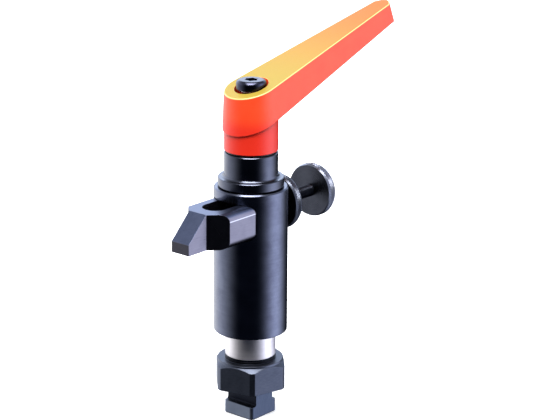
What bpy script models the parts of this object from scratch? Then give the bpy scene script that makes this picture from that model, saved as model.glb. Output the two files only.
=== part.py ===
"""Swing clamp with a T-slot nut, a sliding clamp arm and an adjustable clamping lever.

Metres, +Z up.  The origin is the centre of the T-slot nut's underside.  The arm points along -Y.
"""

import math

import bpy
import bmesh

# Clearances
FIT_GAP = 0.0003
RUNNING_GAP = 0.0001

# T-slot nut and the stud that ties it to the column
TABLE_SLOT_WIDTH = 0.0120
SLOT_NUT_LEDGE = 0.0030
SLOT_NUT_HEAD_HEIGHT = 0.0065
SLOT_NUT_NECK_HEIGHT = 0.0080
SLOT_NUT_FILLET = 0.0010
SLOT_NUT_CORNER_RADIUS = 0.0016
SLOT_NUT_CHAMFER = 0.0005
NECK_WALL = 0.0010
FOOT_STUD_INSET = 0.0008

# Hexagon at the foot of the guide column
HEXAGON_FLAT_INSET = 0.0015
HEXAGON_CORNER_STEP = 0.0003
HEXAGON_HEIGHT = 0.0138
HEXAGON_RING_STEP = 0.0003
HEXAGON_RING_HEIGHT = 0.0009
HEXAGON_CHAMFER_SLOPE = math.radians(30)
HEXAGON_TURN = math.radians(14.3)
ROOT_COLLAR_STEP = 0.0001
ROOT_COLLAR_HEIGHT = 0.0010
RELIEF_DEPTH = 0.0003
RELIEF_HEIGHT = 0.0010

# Guide column and the stud that stands in it
COLUMN_DIAMETER = 0.0242
COLUMN_CHAMFER = 0.0008
STUD_DIAMETER = 0.0100
STUD_ENGAGEMENT = 0.0125
STUD_CHAMFER = 0.0010
STUD_WEB = 0.0020
SPRING_POCKET_DEPTH = 0.0125
POCKET_WALL = 0.0032

# Return spring and the plate that it presses under the arm
SPRING_WIRE = 0.0016
SPRING_TURNS = 5
PLATE_INSET = 0.0016
PLATE_THICKNESS = 0.0013

# Clamp body
BODY_WALL = 0.0053
BODY_LENGTH = 0.0710
BODY_CHAMFER = 0.0006
CLAMPING_STROKE = 0.0105
STROKE_RESERVE = 0.0018
PLATE_RESERVE = 0.0012
ROOF_THICKNESS = 0.0047
WINDOW_WALL = 0.0042
RECESS_DEPTH = 0.0016
RECESS_WALL = 0.0037

# Clamp arm
ARM_HEIGHT = 0.0170
ARM_CORNER = 0.0006
ARM_REACH = 0.0489
NOSE_WIDTH = 0.0106
NOSE_HEIGHT = 0.0052
STUD_CLEARANCE = 0.0005
ARM_TRAVEL = 0.0250
TAIL_INSET = 0.0045
TAIL_CHAMFER = 0.0020

# Thrust washer and flange nut
THRUST_WASHER_THICKNESS = 0.0017
FLANGE_INSET = 0.0019
FLANGE_HEIGHT = 0.0043
FLANGE_CHAMFER = 0.0003
SHOULDER_HEIGHT = 0.0015
SLEEVE_INSET = 0.0029
SLEEVE_TOP = 0.0162
SLEEVE_CHAMFER = 0.0004
BARREL_WALL = 0.0037
NUT_TOP = 0.0378
TEETH_HEIGHT = 0.0030
TEETH_COUNT = 20
TEETH_STEP = 0.0008
TEETH_DEPTH = 0.0008
MAIN_THREAD_DEPTH = 0.0300
STUD_END_CLEARANCE = 0.0020
SCREW_THREAD_DEPTH = 0.0068

# Clamping lever
LEVER_LENGTH = 0.0919
LEVER_TURN = math.radians(-4.7)
LEVER_TOP_SLOPE = math.radians(16.7)
LEVER_UNDERSIDE_SLOPE = math.radians(20.6)
LEVER_TOP_ABOVE_NUT = 0.0098
LEVER_UNDERSIDE_BELOW_NUT_TOP = 0.0071
LEVER_HUB_DRAFT = 0.00075
LEVER_TIP_TOP_WIDTH = 0.0100
LEVER_TIP_LOW_WIDTH = 0.0118
LEVER_TIP_POINT = 0.0036
LEVER_TIP_LEAN = 0.0030
LEVER_EDGE = 0.0006
LEVER_WEB = 0.0015
LEVER_LIFT = 0.0035
COUNTERBORE_DIAMETER = 0.0160

# Lever screw and lever spring
SCREW_DIAMETER = 0.0060
SCREW_HEAD_GAP = 0.0008
SCREW_HEAD_HEIGHT = 0.0044
SCREW_HEAD_ROUNDING = 0.0014
RECESS_LOBE_RADIUS = 0.0033
RECESS_WAIST_RADIUS = 0.0024
RECESS_LOBE_COUNT = 6
SCREW_RECESS_DEPTH = 0.0028
LEVER_SPRING_WIRE = 0.0009
LEVER_SPRING_TURNS = 2.5
LEVER_SPRING_CLOSED = 0.0030
LEVER_SPRING_DIAMETER = 0.0110

# Knob, stop nut and their rod
ROD_DIAMETER = 0.0060
ROD_HEIGHT_OFFSET = 0.0014
SLOT_TO_ROD = 0.0007
ROD_CHAMFER = 0.0006
STOP_NUT_DIAMETER = 0.0270
STOP_NUT_THICKNESS = 0.0045
KNOB_DIAMETER = 0.0260
KNOB_THICKNESS = 0.0048
KNOB_GAP = 0.0207
KNURL_CHAMFER = 0.0006

# Facets
ROUND_STEPS = 40
SMALL_ROUND_STEPS = 24
COLUMN_STEPS = 48
COIL_STEPS = 18
WIRE_STEPS = 6
FLAT_END_TURNS = 0.7
FILLET_STEPS = 4
SMOOTH_ANGLE = math.radians(35)
BOOLEAN_MARGIN = 0.0010

# Sizes that follow from those above
SLOT_NUT_WIDTH = TABLE_SLOT_WIDTH + 2 * SLOT_NUT_LEDGE
FOOT_STUD_DIAMETER = TABLE_SLOT_WIDTH - 2 * NECK_WALL
BODY_DIAMETER = COLUMN_DIAMETER + 2 * RUNNING_GAP + 2 * BODY_WALL
HEXAGON_ACROSS_FLATS = BODY_DIAMETER - 2 * HEXAGON_FLAT_INSET
HEXAGON_ACROSS_CORNERS = BODY_DIAMETER + 2 * HEXAGON_CORNER_STEP
HEXAGON_RING_DIAMETER = HEXAGON_ACROSS_FLATS - 2 * HEXAGON_RING_STEP
ROOT_COLLAR_DIAMETER = COLUMN_DIAMETER + 2 * ROOT_COLLAR_STEP
SPRING_POCKET_DIAMETER = COLUMN_DIAMETER - 2 * POCKET_WALL
PLATE_DIAMETER = COLUMN_DIAMETER - 2 * PLATE_INSET
ARM_WIDTH = BODY_DIAMETER - 2 * WINDOW_WALL - 2 * FIT_GAP
ARM_ROUND_DIAMETER = ARM_WIDTH + 2 * ARM_CORNER
ARM_TAIL = BODY_DIAMETER / 2 - TAIL_INSET
ARM_SLOT_WIDTH = STUD_DIAMETER + 2 * STUD_CLEARANCE
THRUST_WASHER_DIAMETER = BODY_DIAMETER - 2 * RECESS_WALL - 2 * FIT_GAP
FLANGE_DIAMETER = BODY_DIAMETER - 2 * FLANGE_INSET
SLEEVE_DIAMETER = FLANGE_DIAMETER - 2 * SLEEVE_INSET
JOURNAL_DIAMETER = SLEEVE_DIAMETER - 2 * BARREL_WALL
TEETH_DIAMETER = JOURNAL_DIAMETER - 2 * TEETH_STEP
LEVER_HUB_TOP_DIAMETER = SLEEVE_DIAMETER
LEVER_HUB_LOW_DIAMETER = SLEEVE_DIAMETER + 2 * LEVER_HUB_DRAFT
SCREW_HEAD_DIAMETER = COUNTERBORE_DIAMETER - 2 * SCREW_HEAD_GAP
ROD_START = ARM_SLOT_WIDTH / 2 + SLOT_TO_ROD
STOP_NUT_DISTANCE = BODY_DIAMETER / 2 + FIT_GAP
KNOB_DISTANCE = STOP_NUT_DISTANCE + STOP_NUT_THICKNESS + KNOB_GAP

# Levels, from the foot upwards
NECK_TOP = SLOT_NUT_HEAD_HEIGHT + SLOT_NUT_NECK_HEIGHT
HEXAGON_BOTTOM = NECK_TOP + FIT_GAP
HEXAGON_FACE = HEXAGON_BOTTOM + HEXAGON_HEIGHT
COLUMN_BOTTOM = HEXAGON_FACE + ROOT_COLLAR_HEIGHT + RELIEF_HEIGHT
BODY_BOTTOM = COLUMN_BOTTOM + CLAMPING_STROKE + STROKE_RESERVE
BODY_TOP = BODY_BOTTOM + BODY_LENGTH
WINDOW_TOP = BODY_TOP - ROOF_THICKNESS
ARM_TOP = WINDOW_TOP - FIT_GAP
ARM_BOTTOM = ARM_TOP - ARM_HEIGHT
ARM_CENTRE = (ARM_TOP + ARM_BOTTOM) / 2
PLATE_BOTTOM = ARM_BOTTOM - FIT_GAP - PLATE_THICKNESS
COLUMN_TOP = PLATE_BOTTOM - CLAMPING_STROKE - PLATE_RESERVE
POCKET_FLOOR = COLUMN_TOP - SPRING_POCKET_DEPTH
STUD_BOTTOM = POCKET_FLOOR - STUD_ENGAGEMENT
FOOT_STUD_TOP = STUD_BOTTOM - STUD_WEB
ROD_LEVEL = ARM_CENTRE + ROD_HEIGHT_OFFSET
WASHER_BOTTOM = BODY_TOP - RECESS_DEPTH + RUNNING_GAP
FLANGE_BOTTOM = WASHER_BOTTOM + THRUST_WASHER_THICKNESS + RUNNING_GAP
SEAM = FLANGE_BOTTOM + SLEEVE_TOP
FLANGE_NUT_TOP = FLANGE_BOTTOM + NUT_TOP
STUD_TOP = FLANGE_BOTTOM + MAIN_THREAD_DEPTH - CLAMPING_STROKE - STUD_END_CLEARANCE
WEB_TOP = FLANGE_NUT_TOP + FIT_GAP + LEVER_WEB
SCREW_HEAD_SEAT = WEB_TOP + LEVER_LIFT + LEVER_SPRING_CLOSED

BLACKENED_STEEL = (0.016, 0.018, 0.026, 1.0)
GROUND_STEEL = (0.66, 0.66, 0.68, 1.0)
SPRING_STEEL = (0.42, 0.43, 0.45, 1.0)
HARDENED_STEEL = (0.30, 0.31, 0.34, 1.0)
LEVER_COATING = (0.95, 0.16, 0.03, 1.0)


def clear_scene():
    """Removes what Blender starts with."""
    for thing in list(bpy.data.objects):
        bpy.data.objects.remove(thing)


def make_material(name, colour, metallic, roughness):
    """A Principled material with one colour."""
    material = bpy.data.materials.new(name)
    material.use_nodes = True
    shader = material.node_tree.nodes["Principled BSDF"]
    shader.inputs["Base Color"].default_value = colour
    shader.inputs["Metallic"].default_value = metallic
    shader.inputs["Roughness"].default_value = roughness
    return material


def add_solid(name, points, faces):
    """An object with one closed mesh whose faces look outwards."""
    mesh = bpy.data.meshes.new(name)
    mesh.from_pydata(points, [], faces)
    shape = bmesh.new()
    shape.from_mesh(mesh)
    bmesh.ops.recalc_face_normals(shape, faces=shape.faces)
    shape.to_mesh(mesh)
    shape.free()
    solid = bpy.data.objects.new(name, mesh)
    bpy.context.collection.objects.link(solid)
    return solid


def turned(name, profile, steps):
    """A ring-shaped solid: a closed profile of (radius, height) swept round the Z axis."""
    count = len(profile)
    points = []
    for step in range(steps):
        angle = 2 * math.pi * step / steps
        for radius, height in profile:
            points.append((radius * math.cos(angle), radius * math.sin(angle), height))
    faces = []
    for step in range(steps):
        here = step * count
        there = (step + 1) % steps * count
        for index in range(count):
            after = (index + 1) % count
            faces.append((here + index, there + index, there + after, here + after))
    return add_solid(name, points, faces)


def stacked(name, rings):
    """A solid through rings of equally many points, closed by a flat face at each end."""
    count = len(rings[0])
    points = [point for ring in rings for point in ring]
    faces = [tuple(range(count)), tuple(range(len(points) - count, len(points)))]
    for level in range(len(rings) - 1):
        low = level * count
        high = low + count
        for index in range(count):
            after = (index + 1) % count
            faces.append((low + index, low + after, high + after, high + index))
    return add_solid(name, points, faces)


def circle(radius, height, steps):
    """Points of a level circle about the Z axis."""
    angles = [2 * math.pi * step / steps for step in range(steps)]
    return [(radius * math.cos(angle), radius * math.sin(angle), height) for angle in angles]


def solid_round(name, profile, steps):
    """A solid of revolution without a hole, from (radius, height) pairs that run upwards."""
    return stacked(name, [circle(radius, height, steps) for radius, height in profile])


def prism(name, outline, low, high):
    """An upright prism over a plan outline."""
    return stacked(name, [[(x, y, height) for x, y in outline] for height in (low, high)])


def arc(centre, radius, start, end, steps):
    """Points of a plane arc between two angles."""
    points = []
    for step in range(steps + 1):
        angle = start + (end - start) * step / steps
        points.append((centre[0] + radius * math.cos(angle), centre[1] + radius * math.sin(angle)))
    return points


def rounded_square(width, radius):
    """Plan outline of a square with rounded corners."""
    inner = width / 2 - radius
    outline = []
    for quarter, (side_x, side_y) in enumerate(((1, 1), (-1, 1), (-1, -1), (1, -1))):
        start = quarter * math.pi / 2
        outline += arc((side_x * inner, side_y * inner), radius, start, start + math.pi / 2, FILLET_STEPS)
    return outline


def combine(target, tool, operation):
    """Applies a Boolean and removes the tool."""
    modifier = target.modifiers.new(operation.title(), "BOOLEAN")
    modifier.operation = operation
    modifier.solver = "EXACT"
    modifier.object = tool
    bpy.context.view_layer.objects.active = target
    bpy.ops.object.modifier_apply(modifier=modifier.name)
    bpy.data.objects.remove(tool)


def cut(target, tool):
    """Takes the tool's shape out of the target."""
    combine(target, tool, "DIFFERENCE")


def join(target, tool):
    """Adds the tool's shape to the target."""
    combine(target, tool, "UNION")


def keep_inside(target, tool):
    """Keeps what the target and the tool share."""
    combine(target, tool, "INTERSECT")


def bevel_sharp_edges(solid, width, limit):
    """Breaks every edge that is sharper than the limit."""
    modifier = solid.modifiers.new("Bevel", "BEVEL")
    modifier.width = width
    modifier.limit_method = "ANGLE"
    modifier.angle_limit = limit
    modifier.segments = 2
    bpy.context.view_layer.objects.active = solid
    bpy.ops.object.modifier_apply(modifier=modifier.name)


def turn_about_z(solid, angle):
    """Turns the mesh itself about the Z axis."""
    cosine = math.cos(angle)
    sine = math.sin(angle)
    for vertex in solid.data.vertices:
        x, y, height = vertex.co
        vertex.co = (x * cosine - y * sine, x * sine + y * cosine, height)


def lay_along_y(solid, level):
    """Turns an upright mesh so that its +Z runs along +Y at the given level."""
    for vertex in solid.data.vertices:
        x, y, height = vertex.co
        vertex.co = (-x, height, y + level)


def set_origin(solid, point):
    """Moves the object's origin and leaves its shape in place."""
    for vertex in solid.data.vertices:
        vertex.co = [value - offset for value, offset in zip(vertex.co, point)]
    solid.location = point


def finish(solid, material):
    """Gives the material and the shading."""
    solid.data.materials.clear()
    solid.data.materials.append(material)
    solid.data.shade_smooth()
    solid.data.set_sharp_from_angle(angle=SMOOTH_ANGLE)


def coil(name, wire, coil_radius, low, high, turns, steps):
    """A compression spring as one closed tube, with both ends flat for a share of a turn."""
    rise = high - low - wire
    rings = []
    for step in range(int(turns * steps) + 1):
        turn = step / steps
        share = min(max((turn - FLAT_END_TURNS) / (turns - 2 * FLAT_END_TURNS), 0), 1)
        angle = 2 * math.pi * turn
        height = low + wire / 2 + share * rise
        ring = []
        for side in range(WIRE_STEPS):
            around = 2 * math.pi * side / WIRE_STEPS
            radius = coil_radius + wire / 2 * math.cos(around)
            ring.append((radius * math.cos(angle), radius * math.sin(angle),
                         height + wire / 2 * math.sin(around)))
        rings.append(ring)
    return stacked(name, rings)


def make_t_slot_nut(material):
    """The foot: a T-shaped nut whose neck fits the table slot."""
    neck = TABLE_SLOT_WIDTH / 2
    reach = SLOT_NUT_WIDTH / 2 + BOOLEAN_MARGIN
    shoulder = SLOT_NUT_HEAD_HEIGHT
    fillet_centre = (neck + SLOT_NUT_FILLET, shoulder + SLOT_NUT_FILLET)
    fillet = arc(fillet_centre, SLOT_NUT_FILLET, -math.pi / 2, -math.pi, FILLET_STEPS)
    half = [(reach, -BOOLEAN_MARGIN), (reach, shoulder)] + fillet + [(neck, NECK_TOP)]
    outline = half + [(-y, height) for y, height in reversed(half)]
    nut = stacked("t_slot_nut", [[(x, y, height) for y, height in outline] for x in (-reach, reach)])
    rings = []
    for inset, height in ((SLOT_NUT_CHAMFER, 0), (0, SLOT_NUT_CHAMFER), (0, NECK_TOP + BOOLEAN_MARGIN)):
        plan = rounded_square(SLOT_NUT_WIDTH - 2 * inset, SLOT_NUT_CORNER_RADIUS)
        rings.append([(x, y, height) for x, y in plan])
    keep_inside(nut, stacked("nut_block", rings))
    thread = FOOT_STUD_DIAMETER / 2 + RUNNING_GAP
    hole = [(thread, -BOOLEAN_MARGIN), (thread, NECK_TOP + BOOLEAN_MARGIN)]
    cut(nut, solid_round("nut_thread", hole, SMALL_ROUND_STEPS))
    finish(nut, material)


def stud_rod(name, diameter, low, high):
    """A threaded rod with a chamfer at both ends."""
    radius = diameter / 2
    chamfer = STUD_CHAMFER
    profile = [(radius - chamfer, low), (radius, low + chamfer), (radius, high - chamfer),
               (radius - chamfer, high)]
    return solid_round(name, profile, SMALL_ROUND_STEPS)


def make_foot_stud(material):
    """The stud that ties the T-slot nut to the column."""
    stud = stud_rod("foot_stud", FOOT_STUD_DIAMETER, FOOT_STUD_INSET, FOOT_STUD_TOP)
    finish(stud, material)


def make_guide_column(material):
    """The column with its hexagon: stud bores below and in the middle, spring pocket above."""
    corner = HEXAGON_ACROSS_CORNERS / 2
    ring = HEXAGON_RING_DIAMETER / 2
    collar = ROOT_COLLAR_DIAMETER / 2
    outer = COLUMN_DIAMETER / 2
    edge = COLUMN_CHAMFER
    foot_bore = FOOT_STUD_DIAMETER / 2 + RUNNING_GAP
    stud_bore = STUD_DIAMETER / 2 + RUNNING_GAP
    pocket = SPRING_POCKET_DIAMETER / 2
    ring_foot = HEXAGON_FACE - HEXAGON_RING_HEIGHT
    corner_top = ring_foot - (corner - ring) * math.tan(HEXAGON_CHAMFER_SLOPE)
    collar_top = HEXAGON_FACE + ROOT_COLLAR_HEIGHT
    relief = outer - RELIEF_DEPTH
    web = stud_bore - STUD_CHAMFER
    web_top = STUD_BOTTOM - FIT_GAP
    web_bottom = FOOT_STUD_TOP + FIT_GAP
    profile = [(foot_bore, HEXAGON_BOTTOM), (corner, HEXAGON_BOTTOM), (corner, corner_top), (ring, ring_foot),
               (ring, HEXAGON_FACE), (collar, HEXAGON_FACE), (collar, collar_top), (relief, collar_top),
               (relief, COLUMN_BOTTOM), (outer, COLUMN_BOTTOM), (outer, COLUMN_TOP - edge),
               (outer - edge, COLUMN_TOP), (pocket, COLUMN_TOP), (pocket, POCKET_FLOOR),
               (stud_bore, POCKET_FLOOR), (stud_bore, web_top), (web, web_top), (web, web_bottom),
               (foot_bore, web_bottom)]
    column = turned("guide_column", profile, COLUMN_STEPS)
    hexagon = []
    for side in range(6):
        angle = HEXAGON_TURN + side * math.pi / 3
        reach = HEXAGON_ACROSS_FLATS / 2 / math.cos(math.pi / 6)
        hexagon.append((reach * math.cos(angle), reach * math.sin(angle)))
    block = prism("hexagon", hexagon, HEXAGON_BOTTOM - BOOLEAN_MARGIN, COLUMN_TOP + BOOLEAN_MARGIN)
    keep_inside(column, block)
    finish(column, material)


def make_clamp_stud(material):
    """The stud that runs from the column through the arm and into the flange nut."""
    stud = stud_rod("clamp_stud", STUD_DIAMETER, STUD_BOTTOM, STUD_TOP)
    finish(stud, material)


def make_spring_plate(material):
    """The plate between the return spring and the arm."""
    outer = PLATE_DIAMETER / 2
    inner = STUD_DIAMETER / 2 + FIT_GAP
    top = PLATE_BOTTOM + PLATE_THICKNESS
    profile = [(inner, PLATE_BOTTOM), (outer, PLATE_BOTTOM), (outer, top), (inner, top)]
    plate = turned("spring_plate", profile, ROUND_STEPS)
    finish(plate, material)


def make_return_spring(material):
    """The spring that lifts the arm and the body when the lever is loosened."""
    coil_radius = SPRING_POCKET_DIAMETER / 2 - FIT_GAP - SPRING_WIRE / 2
    low = POCKET_FLOOR + FIT_GAP
    high = PLATE_BOTTOM - FIT_GAP
    spring = coil("return_spring", SPRING_WIRE, coil_radius, low, high, SPRING_TURNS, COIL_STEPS)
    finish(spring, material)


def arm_section(grow):
    """The arm's section (across, up): a round bar with four flats, grown by a clearance."""
    radius = ARM_ROUND_DIAMETER / 2 + grow
    half_width = ARM_WIDTH / 2 + grow
    half_height = ARM_HEIGHT / 2 + grow
    low_angle = math.acos(half_width / radius)
    high_angle = math.asin(half_height / radius)
    corner = arc((0, 0), radius, low_angle, high_angle, FILLET_STEPS)
    right = [(x, -y) for x, y in reversed(corner)] + corner
    return right + [(-x, -y) for x, y in right]


def arm_bar(name, grow, front, back):
    """A bar with the arm's section between two distances along Y."""
    section = arm_section(grow)
    return stacked(name, [[(x, y, height + ARM_CENTRE) for x, height in section] for y in (front, back)])


def make_clamp_body(material):
    """The round body: column bore, window for the arm and a recess for the thrust washer."""
    outer = BODY_DIAMETER / 2
    edge = BODY_CHAMFER
    bore = COLUMN_DIAMETER / 2 + RUNNING_GAP
    stud_hole = ARM_SLOT_WIDTH / 2
    recess = THRUST_WASHER_DIAMETER / 2 + FIT_GAP
    recess_floor = BODY_TOP - RECESS_DEPTH
    profile = [(bore + edge, BODY_BOTTOM), (outer - edge / 2, BODY_BOTTOM), (outer, BODY_BOTTOM + edge / 2),
               (outer, BODY_TOP - edge), (outer - edge, BODY_TOP), (recess, BODY_TOP),
               (recess, recess_floor), (stud_hole, recess_floor), (stud_hole, ARM_CENTRE),
               (bore, ARM_CENTRE), (bore, BODY_BOTTOM + edge)]
    body = turned("clamp_body", profile, ROUND_STEPS)
    reach = BODY_DIAMETER
    cut(body, arm_bar("window", FIT_GAP, -reach, reach))
    finish(body, material)


def arm_plan():
    """The arm's plan outline: narrow nose, slanted flanks and a chamfered tail."""
    side = ARM_WIDTH / 2 + BOOLEAN_MARGIN
    nose = NOSE_WIDTH / 2
    slope_start = ARM_REACH - (ARM_HEIGHT - NOSE_HEIGHT)
    flank_end = slope_start - (side - nose)
    tail_corner = ARM_TAIL - TAIL_CHAMFER - BOOLEAN_MARGIN
    half = [(nose, -ARM_REACH), (nose, -slope_start), (side, -flank_end), (side, tail_corner),
            (side - TAIL_CHAMFER - BOOLEAN_MARGIN, ARM_TAIL)]
    return half + [(-x, y) for x, y in reversed(half)]


def make_clamp_arm(material):
    """The arm: milled nose, long slot for the stud and a threaded hole for the rod."""
    arm = arm_bar("clamp_arm", 0, -ARM_REACH - BOOLEAN_MARGIN, ARM_TAIL + BOOLEAN_MARGIN)
    keep_inside(arm, prism("arm_plan", arm_plan(), ARM_BOTTOM - BOOLEAN_MARGIN, ARM_TOP + BOOLEAN_MARGIN))
    slope = ARM_HEIGHT - NOSE_HEIGHT + BOOLEAN_MARGIN
    nose_top = ARM_BOTTOM + NOSE_HEIGHT
    front = -ARM_REACH - BOOLEAN_MARGIN
    wedge = [(front, nose_top - BOOLEAN_MARGIN), (front + BOOLEAN_MARGIN + slope, nose_top + slope),
             (front, nose_top + slope)]
    reach = NOSE_WIDTH
    cut(arm, stacked("wedge", [[(x, y, height) for y, height in wedge] for x in (-reach, reach)]))
    radius = ARM_SLOT_WIDTH / 2
    outline = arc((0, 0), radius, 0, math.pi, SMALL_ROUND_STEPS // 2)
    outline += arc((0, -ARM_TRAVEL), radius, math.pi, 2 * math.pi, SMALL_ROUND_STEPS // 2)
    cut(arm, prism("slot", outline, ARM_BOTTOM - BOOLEAN_MARGIN, ARM_TOP + BOOLEAN_MARGIN))
    hole_radius = ROD_DIAMETER / 2 + RUNNING_GAP
    hole_floor = ROD_START - FIT_GAP
    hole = solid_round("rod_hole", [(hole_radius, hole_floor), (hole_radius, ARM_TAIL + BOOLEAN_MARGIN)],
                       SMALL_ROUND_STEPS)
    lay_along_y(hole, ROD_LEVEL)
    cut(arm, hole)
    finish(arm, material)


def make_thrust_washer(material):
    """The hardened washer that the flange nut turns on."""
    outer = THRUST_WASHER_DIAMETER / 2
    inner = STUD_DIAMETER / 2 + FIT_GAP
    top = WASHER_BOTTOM + THRUST_WASHER_THICKNESS
    profile = [(inner, WASHER_BOTTOM), (outer, WASHER_BOTTOM), (outer, top), (inner, top)]
    washer = turned("thrust_washer", profile, ROUND_STEPS)
    finish(washer, material)


def star(tip_radius, root_radius):
    """Plan outline of the serration."""
    outline = []
    for step in range(2 * TEETH_COUNT):
        angle = math.pi * step / TEETH_COUNT
        radius = root_radius if step % 2 else tip_radius
        outline.append((radius * math.cos(angle), radius * math.sin(angle)))
    return outline


def make_flange_nut(material):
    """The nut that the lever turns: flange, sleeve, journal and a serrated head."""
    flange = FLANGE_DIAMETER / 2
    sleeve = SLEEVE_DIAMETER / 2
    journal = JOURNAL_DIAMETER / 2
    root = TEETH_DIAMETER / 2 - TEETH_DEPTH
    thread = STUD_DIAMETER / 2 + RUNNING_GAP
    screw_thread = SCREW_DIAMETER / 2 + RUNNING_GAP
    flange_top = FLANGE_BOTTOM + FLANGE_HEIGHT
    teeth_foot = FLANGE_NUT_TOP - TEETH_HEIGHT
    thread_top = FLANGE_BOTTOM + MAIN_THREAD_DEPTH
    shoulder = arc((sleeve + SHOULDER_HEIGHT, flange_top + SHOULDER_HEIGHT), SHOULDER_HEIGHT,
                   -math.pi / 2, -math.pi, FILLET_STEPS)
    profile = [(thread, FLANGE_BOTTOM), (flange - FLANGE_CHAMFER, FLANGE_BOTTOM),
               (flange, FLANGE_BOTTOM + FLANGE_CHAMFER), (flange, flange_top - FLANGE_CHAMFER),
               (flange - FLANGE_CHAMFER, flange_top)] + shoulder
    profile += [(sleeve, SEAM - SLEEVE_CHAMFER), (sleeve - SLEEVE_CHAMFER, SEAM), (journal, SEAM),
                (journal, teeth_foot - FIT_GAP), (root, teeth_foot - FIT_GAP), (root, FLANGE_NUT_TOP),
                (screw_thread, FLANGE_NUT_TOP), (screw_thread, thread_top), (thread, thread_top)]
    nut = turned("flange_nut", profile, ROUND_STEPS)
    tip = TEETH_DIAMETER / 2
    teeth = prism("teeth", star(tip, root - RUNNING_GAP), teeth_foot, FLANGE_NUT_TOP - RUNNING_GAP)
    bore = (root + screw_thread) / 2
    hole = [(bore, teeth_foot - BOOLEAN_MARGIN), (bore, FLANGE_NUT_TOP + BOOLEAN_MARGIN)]
    cut(teeth, solid_round("teeth_bore", hole, SMALL_ROUND_STEPS))
    join(nut, teeth)
    turn_about_z(nut, LEVER_TURN)
    finish(nut, material)


def lever_outline(hub_radius, tip_half_width, length):
    """Plan outline of the lever along +Y: round hub, straight sides and a pointed tip."""
    side_end = length - LEVER_TIP_POINT
    reach = math.hypot(side_end, tip_half_width)
    tangent = math.atan2(tip_half_width, side_end) + math.acos(hub_radius / reach)
    start = math.pi / 2 + tangent
    hub = arc((0, 0), hub_radius, start, start + 2 * (math.pi - tangent), SMALL_ROUND_STEPS)
    half = tip_half_width / 2
    near_point = length - LEVER_TIP_POINT / 4
    tip = [(tip_half_width, side_end), (half, near_point), (0, length), (-half, near_point),
           (-tip_half_width, side_end)]
    return hub + tip


def lever_level(base, slope, along):
    """Height of one of the lever's two slanted planes."""
    return base + math.tan(slope) * along


def lever_block():
    """The slanted hub and arm of the lever, wider below than above."""
    top_base = FLANGE_NUT_TOP + LEVER_TOP_ABOVE_NUT
    low_base = FLANGE_NUT_TOP - LEVER_UNDERSIDE_BELOW_NUT_TOP
    low_length = LEVER_LENGTH + LEVER_TIP_LEAN
    low_plan = lever_outline(LEVER_HUB_LOW_DIAMETER / 2, LEVER_TIP_LOW_WIDTH / 2, low_length)
    top_plan = lever_outline(LEVER_HUB_TOP_DIAMETER / 2, LEVER_TIP_TOP_WIDTH / 2, LEVER_LENGTH)
    low = [(x, y, lever_level(low_base, LEVER_UNDERSIDE_SLOPE, y)) for x, y in low_plan]
    top = [(x, y, lever_level(top_base, LEVER_TOP_SLOPE, y)) for x, y in top_plan]
    block = stacked("lever_handle", [low, top])
    bevel_sharp_edges(block, LEVER_EDGE, math.radians(50))
    return block


def make_lever_handle(material):
    """The clamping lever: slanted arm on a round barrel that lifts off the nut's serration."""
    handle = lever_block()
    barrel = SLEEVE_DIAMETER / 2
    barrel_top = FLANGE_NUT_TOP
    rings = [(barrel - SLEEVE_CHAMFER, SEAM + FIT_GAP), (barrel, SEAM + FIT_GAP + SLEEVE_CHAMFER),
             (barrel, barrel_top)]
    join(handle, solid_round("barrel", rings, ROUND_STEPS))
    journal = JOURNAL_DIAMETER / 2 + RUNNING_GAP
    teeth_foot = FLANGE_NUT_TOP - TEETH_HEIGHT
    cut(handle, solid_round("journal_bore", [(journal, SEAM - BOOLEAN_MARGIN), (journal, teeth_foot)],
                            ROUND_STEPS))
    tip = TEETH_DIAMETER / 2 + FIT_GAP
    web_bottom = FLANGE_NUT_TOP + FIT_GAP
    cut(handle, prism("teeth_bore", star(tip, tip - TEETH_DEPTH), teeth_foot - BOOLEAN_MARGIN, web_bottom))
    screw_hole = SCREW_DIAMETER / 2 + FIT_GAP
    top = FLANGE_NUT_TOP + 4 * LEVER_TOP_ABOVE_NUT
    cut(handle, solid_round("screw_hole", [(screw_hole, teeth_foot), (screw_hole, top)], SMALL_ROUND_STEPS))
    counterbore = COUNTERBORE_DIAMETER / 2
    cut(handle, solid_round("counterbore", [(counterbore, WEB_TOP), (counterbore, top)], ROUND_STEPS))
    turn_about_z(handle, LEVER_TURN)
    finish(handle, material)


def lobed(radius_out, radius_in, lobes, steps):
    """Plan outline with rounded lobes."""
    middle = (radius_out + radius_in) / 2
    wave = (radius_out - radius_in) / 2
    outline = []
    for step in range(steps):
        angle = 2 * math.pi * step / steps
        radius = middle + wave * math.cos(lobes * angle)
        outline.append((radius * math.cos(angle), radius * math.sin(angle)))
    return outline


def make_lever_screw(material):
    """The round-headed screw that holds the lever on the nut."""
    shank = SCREW_DIAMETER / 2
    head = SCREW_HEAD_DIAMETER / 2
    head_top = SCREW_HEAD_SEAT + SCREW_HEAD_HEIGHT
    rounding = arc((head - SCREW_HEAD_ROUNDING, head_top - SCREW_HEAD_ROUNDING), SCREW_HEAD_ROUNDING,
                   0, math.pi / 2, FILLET_STEPS)
    end = FLANGE_NUT_TOP - SCREW_THREAD_DEPTH
    profile = [(shank - ROD_CHAMFER, end), (shank, end + ROD_CHAMFER), (shank, SCREW_HEAD_SEAT),
               (head, SCREW_HEAD_SEAT)] + rounding
    screw = solid_round("lever_screw", profile, SMALL_ROUND_STEPS)
    plan = lobed(RECESS_LOBE_RADIUS, RECESS_WAIST_RADIUS, RECESS_LOBE_COUNT, 6 * RECESS_LOBE_COUNT)
    cut(screw, prism("drive", plan, head_top - SCREW_RECESS_DEPTH, head_top + BOOLEAN_MARGIN))
    finish(screw, material)


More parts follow.
